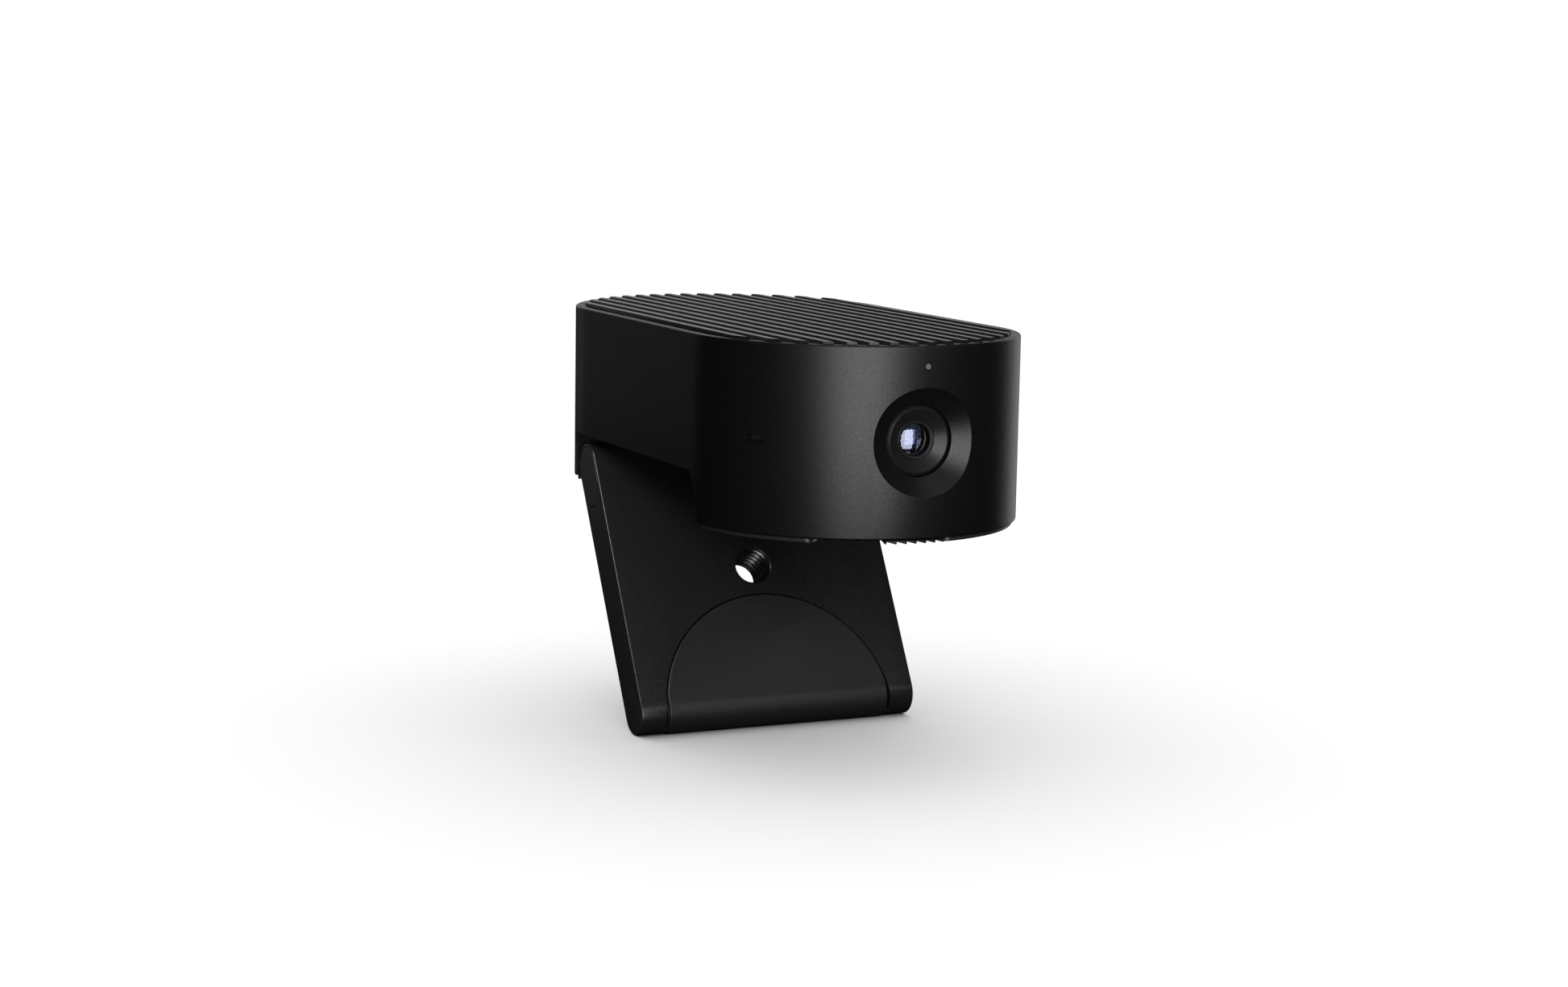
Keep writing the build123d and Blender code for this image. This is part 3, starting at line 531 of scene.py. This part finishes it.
recess = across_head("recess", recess_loop())
cone_rings = []
for half_width, half_height, y in ((OPENING_RADIUS, OPENING_RADIUS, OPENING_BACK),
                                   (OPENING_RADIUS, OPENING_RADIUS, CONE_BACK),
                                   (CONE_HALF_WIDTH, CONE_HALF_HEIGHT, CONE_FRONT)):
    turns = [2 * math.pi * i / CONE_STEPS for i in range(CONE_STEPS)]
    cone_rings.append([(half_width * math.cos(turn), y, LENS_Z + half_height * math.sin(turn))
                       for turn in turns])
cone = make_object("cone", *bridge(cone_rings))
mic_side = (cos_deg(MIC_ANGLE), sin_deg(MIC_ANGLE), 0)
mic_out = Vector((sin_deg(MIC_ANGLE), -cos_deg(MIC_ANGLE), 0))
mic_middle = front_arc(MIC_ANGLE, MIC_CUT_FROM, LENS_Z)
mic_outline = on_plane(slot_loop(MIC_WIDTH, MIC_HEIGHT), mic_middle, mic_side, UP)
mic_slot = prism("mic_slot", mic_outline, mic_out * 4)
lamp_hole = lathe("lamp_hole", [(0.64, -52), (0.64, -49.35), (0.46, -49.3), (0.46, -48)],
                  (0, 0, LAMP_Z), BACKWARD, 48, loop=False)
socket_outline = on_plane(slot_loop(SOCKET_WIDTH, SOCKET_HEIGHT), (0, SOCKET_CUT_FROM, SOCKET_Z), ACROSS, UP)
socket_cut = prism("socket_cut", socket_outline, (0, 6, 0))
carve(shell, [recess, cone, mic_slot, lamp_hole, socket_cut])
soften(shell, 0.09)
place(shell, "head", SHELL, "shell_black", "shell")


# Heat sink: one comb of ribs on a plate, cut to the plan of the head
def sink_end(x):
    return END_Y + math.sqrt(max(0.0, SINK_RADIUS ** 2 - x * x))


def sink_stations():
    """Places (x, top of the rib) from side to side; the top is None where there is no rib."""
    stations = [(-x, None) for x in SINK_SIDES]
    for i in range(RIB_COUNT):
        centre = RIB_PITCH * (i - (RIB_COUNT - 1) / 2)
        stations += [(centre + dx, RIB_TOP + dz) for dx, dz in RIB_SHAPE]
        if i < RIB_COUNT - 1:
            stations.append((centre + RIB_PITCH / 2, None))
    return stations + [(x, None) for x in reversed(SINK_SIDES)]


def comb(name):
    """Plate and ribs as one closed mesh."""
    verts = []
    faces = []

    def put(x, z):
        """Front and rear points of one station."""
        y = sink_end(x)
        verts.extend(((x, -y, z), (x, y, z)))
        return len(verts) - 2, len(verts) - 1

    columns = []
    for x, top in sink_stations():
        low = put(x, SINK_LOW)
        mid = put(x, SINK_FLOOR)
        high = put(x, top) if top is not None else None
        columns.append((low, mid, high))
    for a, b in zip(columns, columns[1:]):
        faces.append((a[0][0], a[0][1], b[0][1], b[0][0]))
        for end in (0, 1):
            faces.append((a[0][end], b[0][end], b[1][end], a[1][end]))
        if a[2] and b[2]:
            faces.append((a[2][0], a[2][1], b[2][1], b[2][0]))
            for end in (0, 1):
                faces.append((a[1][end], b[1][end], b[2][end], a[2][end]))
        else:
            faces.append((a[1][0], a[1][1], b[1][1], b[1][0]))
    for before, column, after in zip(columns, columns[1:], columns[2:]):
        if column[2] and not (before[2] and after[2]):
            faces.append((column[1][0], column[1][1], column[2][1], column[2][0]))
    for column in (columns[0], columns[-1]):
        faces.append((column[0][0], column[0][1], column[1][1], column[1][0]))
    return make_object(name, verts, faces)


sink = comb("heat_sink_ribs")
soften(sink, 0.06, 60)
place(sink, "head", SINK, "sink_black", "heat_sink")

# Ring in the lens opening with its dark dish and raised lip, and the tube behind: (radius, y)
bezel = lathe("lens_ring", [
    (5.5, -46.15), (5.53, -46.18), (5.53, -46.9), (5.5, -46.96), (4.96, -47.44), (4.9, -47.48),
    (4.84, -47.48), (4.78, -47.44), (3.2, -46.44), (3.14, -46.3), (3.08, -46.28), (3.05, -46.36),
    (3.02, -46.44), (2.94, -46.5), (2.66, -46.5), (2.58, -46.47), (2.44, -46.24), (2.43, -46.18),
    (2.46, -46.15)],
    LENS_CENTRE, BACKWARD, 160)
place(bezel, "head", BEZEL, "bezel_black", "lens_bezel")
barrel = lathe("lens_tube", [
    (2.32, -44.98), (2.36, -45.0), (3.12, -45.0), (3.2, -44.94), (3.2, -44.5), (4.4, -44.5),
    (4.4, -34.0), (3.4, -34.0), (3.4, -44.4), (2.3, -44.78), (2.3, -44.94)],
    LENS_CENTRE, BACKWARD)
place(barrel, "head", BARREL, "holder_black", "lens_barrel")


def dome(radius, face, bulge, steps=14):
    """Points (radius, y) of a dome from its rim to its middle."""
    size = (radius ** 2 + bulge ** 2) / (2 * bulge)
    points = []
    for i in range(steps + 1):
        r = radius * (1 - i / steps)
        points.append((max(r, 0.002), face - bulge + size - math.sqrt(size ** 2 - r ** 2)))
    return points


def lens(name, node, front, back, front_bulge, back_bulge):
    profile = dome(LENS_RADIUS, front, front_bulge)
    profile += [(r, 2 * back - y) for r, y in reversed(dome(LENS_RADIUS, back, back_bulge))]
    made = lathe(name, profile, LENS_CENTRE, BACKWARD, 96)
    return place(made, "head", GLASS, "lens_glass", node)


lens("lens_a", "front_lens", -44.3, -42.8, 0.55, 0.3)
lens("lens_b", "middle_lens", -40.3, -39.1, 0.2, 0.4)
lens("lens_c", "rear_lens", -37.6, -36.3, 0.4, 0.5)


# Front base plate with its lower edge rounded, the slider's notch and two stepped screw holes
def notch_sweep(start, end, radius):
    """Points along the slider's notch, from one angle to another."""
    return [front_arc(start + (end - start) * i / NOTCH_STEPS, radius, NOTCH_LOW)
            for i in range(NOTCH_STEPS + 1)]


plate_shape = [(SINK_RADIUS, SHELL_LOW + 1.0), (SINK_RADIUS, SHELL_LOW), (PLATE_OUTER, SHELL_LOW)]
for t in (0, 30, 60, 90):
    plate_shape.append((PLATE_EDGE_CENTRE + PLATE_EDGE * cos_deg(t),
                        PLATE_LOW + PLATE_EDGE - PLATE_EDGE * sin_deg(t)))
plate = make_object("front_plate", *bridge([stadium(r, z) for r, z in plate_shape]))
front_half = across_head("front_half", rectangle(RECESS_FRONT, -60, SHELL_LOW - 2, SHELL_LOW + 3))
carve(plate, [front_half], "INTERSECT")
tray_wall = across_head("tray_wall", rectangle(-24, -26.7, SHELL_LOW, SHELL_LOW + 2))
flare = []
for t in FINE_QUARTER:
    widening = NOTCH_CORNER * (1 - cos_deg(t)) / NOTCH_CORNER_TO
    flare.append((math.degrees(widening), NOTCH_CORNER_FROM + NOTCH_CORNER * sin_deg(t)))
notch_outline = [front_arc(NOTCH_FROM - a, r, NOTCH_LOW) for a, r in flare]
notch_outline += notch_sweep(NOTCH_FROM, NOTCH_TO, NOTCH_OUTER)
notch_outline += [front_arc(NOTCH_TO + a, r, NOTCH_LOW) for a, r in reversed(flare)]
notch_outline += notch_sweep(NOTCH_TO, NOTCH_FROM, NOTCH_INNER)
plate_cuts = [tray_wall, prism("slider_notch", notch_outline, (0, 0, 5))]
for spot in SCREW_SPOTS:
    low = (*spot, PLATE_LOW)
    plate_cuts.append(lathe("sink_cut", [(1.95, -1), (1.95, 1.05)], low, UP, 48, loop=False))
    plate_cuts.append(lathe("screw_cut", [(1.1, -1), (1.1, 3)], low, UP, 32, loop=False))
carve(plate, plate_cuts)
soften(plate, 0.1, 40)
place(plate, "head", PLATE, "plate_dark", "base_plate_front")


# ---------------------------------------------------------------- leg
def leg_ring(x, radius, steps=40):
    """Ring of points round the leg's side outline."""
    outline = arc((FOOT_DOWN, LEG_ROUND), radius, -90, 90, steps)
    outline += arc((HINGE_DOWN, LEG_ROUND), radius, 90, 270, steps)
    return [leg_point(x, down, into) for down, into in outline]


def gap_loop(centre, far, steps=40):
    """Side outline (down, into) of a rounded gap that runs out at far."""
    turn = (90, 270) if far > centre else (-90, 90)
    points = arc((centre, LEG_ROUND), LEG_GAP_ROUND, *turn, steps)
    return points + [(far, points[-1][1]), (far, points[0][1])]


def leg_prism(name, points, x_low, x_high):
    """Solid between two x from a side outline (down, into)."""
    return prism(name, [leg_point(x_low, down, into) for down, into in points], (x_high - x_low, 0, 0))


def cap_outline(radius):
    """Side outline (down, into) of the pill over the hinge pin."""
    pill = slot_loop(CAP_RUN + 2 * radius, 2 * radius, 40)
    return [(CAP_DOWN + a, LEG_ROUND + b) for a, b in pill]


edge = [(LEG_EDGE - LEG_EDGE * cos_deg(t), LEG_EDGE - LEG_EDGE * sin_deg(t)) for t in QUARTER]
leg_rings = [leg_ring(-LEG_HALF_WIDTH + inward, LEG_ROUND - drop) for inward, drop in edge]
leg_rings += [leg_ring(LEG_HALF_WIDTH - inward, LEG_ROUND - drop) for inward, drop in reversed(edge)]
leg = make_object("leg_body", *bridge(leg_rings))
thread_centre = leg_point(0, THREAD_DOWN, 0)
flap_pocket = lathe("flap_pocket", [(POCKET_RADIUS, -2), (POCKET_RADIUS, POCKET_DEPTH)],
                    leg_point(0, FLAP_DOWN, 0), LEG_IN, 256, loop=False)
knuckle_gap = leg_prism("knuckle_gap", gap_loop(FOOT_DOWN, 84), -KNUCKLE_GAP_HALF, KNUCKLE_GAP_HALF)
notch = leg_prism("notch", gap_loop(HINGE_DOWN, 20), -HINGE_GAP_HALF, HINGE_GAP_HALF)
notch_front = leg_prism(
    "notch_front", rectangle(HINGE_DOWN - 6, HINGE_DOWN + LEG_GAP_ROUND, -2, LEG_ROUND),
    -HINGE_GAP_HALF, HINGE_GAP_HALF)
hole = lathe("hole", [(3.885, -0.5), (3.185, 0.2), (3.185, 9)], thread_centre, LEG_IN, loop=False)
seat = lathe("seat", [(4.02, 0.6), (4.02, 9)], thread_centre, LEG_IN, 96, loop=False)
leg_cuts = [flap_pocket, knuckle_gap, notch, notch_front, hole, seat]
for side in (-1, 1):
    face = side * LEG_HALF_WIDTH
    leg_cuts.append(leg_prism("cap_cut", cap_outline(CAP_GAP_ROUND), face - 1, face + 1))
carve(leg, leg_cuts)
soften(leg, 0.1)
place(leg, "stand", LEG, "leg_black", "leg_plate")

for node, low in (("left_cap", -LEG_HALF_WIDTH), ("right_cap", LEG_HALF_WIDTH - CAP_DEPTH)):
    cap = leg_prism(node + "_pill", cap_outline(CAP_ROUND), low, low + CAP_DEPTH)
    soften(cap, 0.16, segments=3)
    place(cap, "stand", CAP, "cap_black", node)


# Threaded insert: its turns stand in the bore, with plain rings round the outside
def insert_ring(into, radii):
    """Ring of points about the insert's axis, one radius for each point."""
    side = LEG_IN.cross(Vector(ACROSS))
    ring = []
    for j, radius in enumerate(radii):
        turn = 2 * math.pi * j / THREAD_STEPS
        spoke = Vector((math.cos(turn), 0, 0)) + side * math.sin(turn)
        ring.append(leg_point(0, THREAD_DOWN, into) + spoke * radius)
    return ring


def thread_radius(into, j):
    """Radius of the thread at a depth and at step j round the axis."""
    phase = (into / THREAD_PITCH + j / THREAD_STEPS) % 1.0
    ridge = max(0.0, 1.0 - abs(phase - 0.5) / 0.36)
    fade = min(1.0, (into - THREAD_FROM) / 0.25, (THREAD_TO - into) / 0.3)
    return THREAD_BORE - THREAD_HEIGHT * min(1.0, ridge * 1.25) * max(0.0, fade)


insert_rings = []
for i in range(THREAD_ROWS + 1):
    depth = THREAD_FROM + THREAD_LENGTH * i / THREAD_ROWS
    insert_rings.append(insert_ring(depth, [thread_radius(depth, j) for j in range(THREAD_STEPS)]))
for depth, radius in INSERT_OUTSIDE:
    insert_rings.append(insert_ring(depth, [radius] * THREAD_STEPS))
insert = make_object("thread_turns", *bridge(insert_rings, loop=True))
place(insert, "stand", INSERT, "insert_dark", "thread_insert")

# ---------------------------------------------------------------- foot flap
# Skin of the flap: a half-disc whose flat front runs round the foot to the back
skin_side = [(SKIN_FROM, LEG_ROUND - SKIN_OUTER)]
skin_side += arc((FOOT_DOWN, LEG_ROUND), SKIN_OUTER, -90, 90, 48)
skin_side += arc((FOOT_DOWN, LEG_ROUND), SKIN_INNER, 90, -90, 48)
skin_side += [(SKIN_FROM, LEG_ROUND - SKIN_INNER)]
skin = leg_prism("flap_cover", skin_side, -22, 22)
start = math.degrees(math.asin((FLAP_DOWN - FOOT_DOWN) / FLAP_RADIUS))
disc = arc((0, -FLAP_DOWN), FLAP_RADIUS, start, 180 - start, 120)
outline = [(max(-SKIN_HALF_WIDTH, min(SKIN_HALF_WIDTH, x)), -b) for x, b in disc]
outline += [(-SKIN_HALF_WIDTH, SKIN_TO), (SKIN_HALF_WIDTH, SKIN_TO)]
keep = prism("keep", [leg_point(x, down, -3) for x, down in outline], LEG_IN * 14)
carve(skin, [keep], "INTERSECT")
ground_corners = [(-30, -20, -4), (30, -20, -4), (30, 30, -4), (-30, 30, -4)]
carve(skin, [prism("ground", ground_corners, (0, 0, 4.0))])
soften(skin, 0.18, 40, 3)
place(skin, "flap", SKIN, "soft_skin", "flap_skin")

# ---------------------------------------------------------------- stage, light, camera
BACKDROP = 1.05
AMBIENT = 0.12
floor_corners = [(-2500, -1500, 0), (2500, -1500, 0), (2500, 4500, 0), (-2500, 4500, 0)]
floor = make_object("floor", floor_corners, [(0, 1, 2, 3)], smooth=False)
floor_white = new_material("floor_white", (0.9, 0.9, 0.9), 0.9, 0.0, 0.1)[0]
floor.data.materials.append(floor_white)
floor.visible_glossy = False
floor.visible_diffuse = False

# The world is a white backdrop to the camera and a dim even light on the object
world = bpy.data.worlds.new("studio")
bpy.context.scene.world = world
world.use_nodes = True
sky = world.node_tree
sky_rays = sky.nodes.new("ShaderNodeLightPath")
sky_mix = sky.nodes.new("ShaderNodeMix")
sky_mix.inputs["A"].default_value = AMBIENT
sky_mix.inputs["B"].default_value = BACKDROP
sky.links.new(sky_rays.outputs["Is Camera Ray"], sky_mix.inputs["Factor"])
sky.links.new(sky_mix.outputs["Result"], sky.nodes["Background"].inputs["Strength"])
sky.nodes["Background"].inputs["Color"].default_value = (1, 1, 1, 1)
world.cycles_visibility.glossy = False


def card(name, place_mm, target_mm, size_mm, power, color=(1, 1, 1)):
    """Soft light panel aimed at a point."""
    light = bpy.data.lights.new(name, "AREA")
    light.shape = "RECTANGLE"
    light.size = size_mm[0] * MM
    light.size_y = size_mm[1] * MM
    light.energy = power
    light.color = color
    lamp = bpy.data.objects.new(name, light)
    bpy.context.scene.collection.objects.link(lamp)
    lamp.location = Vector(place_mm) * MM
    aim = (Vector(target_mm) - Vector(place_mm)).normalized()
    lamp.rotation_mode = "QUATERNION"
    lamp.rotation_quaternion = aim.to_track_quat("-Z", "Y")
    return lamp


def around(azimuth, elevation, distance, height=45):
    """Point in mm seen from the object at an azimuth from -Y towards +X."""
    a = math.radians(azimuth)
    e = math.radians(elevation)
    return (distance * math.sin(a) * math.cos(e), -distance * math.cos(a) * math.cos(e),
            height + distance * math.sin(e))


def collection_of(name, *pieces):
    """Collection that a light is linked to."""
    collection = bpy.data.collections.new(name)
    for piece in pieces:
        collection.objects.link(bpy.data.objects[piece])
    return collection


only_floor = collection_of("only_floor", "floor")
# A collection with an excluded floor stands for everything but the floor
not_floor = collection_of("not_floor", "floor")
not_floor.collection_objects[0].light_linking.link_state = "EXCLUDE"
only_stand = collection_of("only_stand", "leg_body", "left_cap_pill", "right_cap_pill", "flap_cover")
only_lens = collection_of("only_lens", "lens_a")

floor_light = card("floor_light", (0, 1500, 2500), (0, 1500, 0), (14000, 14000), 740.0)
floor_light.light_linking.receiver_collection = only_floor

CENTRE = (0, -10, 50)
CARDS = (
    # name, azimuth, elevation, distance, width, height, watts, what it shines on
    ("front_card", -17, 4, 900, 640, 700, 8.0, not_floor),
    ("high_card", 28, 26, 900, 300, 140, 0.36, not_floor),
    ("left_card", -75, 40, 900, 260, 260, 5.5, only_stand),
    ("rim_card", 122, 4, 900, 420, 700, 1.0, not_floor),
    ("back_card", 156, 10, 1100, 900, 300, 0.85, not_floor),
    ("side_card", -166, 6, 1000, 260, 500, 0.11, not_floor),
    ("top_card", 20, 88, 900, 700, 900, 1.6, not_floor),
)
for name, azimuth, elevation, distance, width, height, watts, receivers in CARDS:
    panel = card(name, around(azimuth, elevation, distance), CENTRE, (width, height), watts)
    panel.visible_camera = False
    panel.light_linking.receiver_collection = receivers

# Window of light mirrored in the front lens; the floor doesn't shade it
LENS_SPOT = (0, -45, LENS_Z)
lens_card = card("lens_card", around(17, -7, 300, LENS_Z), LENS_SPOT, (104, 140), 0.6, (0.76, 0.8, 1.0))
lens_card.visible_camera = False
lens_card.light_linking.receiver_collection = only_lens
lens_card.light_linking.blocker_collection = not_floor

bpy.context.scene.view_settings.view_transform = "Standard"

CAMERA_PLACE = Vector((-197.18, -423.54, 38.88 + RIM_TOP))
CAMERA_RIGHT = Vector((0.90774, -0.41915, 0.01809))
CAMERA_UP = Vector((0.04439, 0.13885, 0.98932))
CAMERA_FORWARD = Vector((0.41718, 0.89724, -0.14464))
camera_data = bpy.data.cameras.new("camera")
camera_data.sensor_width = 36
camera_data.sensor_fit = "HORIZONTAL"
camera_data.lens = 64.89
camera_data.clip_start = 0.01
camera_data.clip_end = 20
camera = bpy.data.objects.new("camera", camera_data)
bpy.context.scene.collection.objects.link(camera)
camera_turn = Matrix((CAMERA_RIGHT, CAMERA_UP, -CAMERA_FORWARD)).transposed()
camera.matrix_world = Matrix.Translation(CAMERA_PLACE * MM) @ camera_turn.to_4x4()
bpy.context.scene.camera = camera
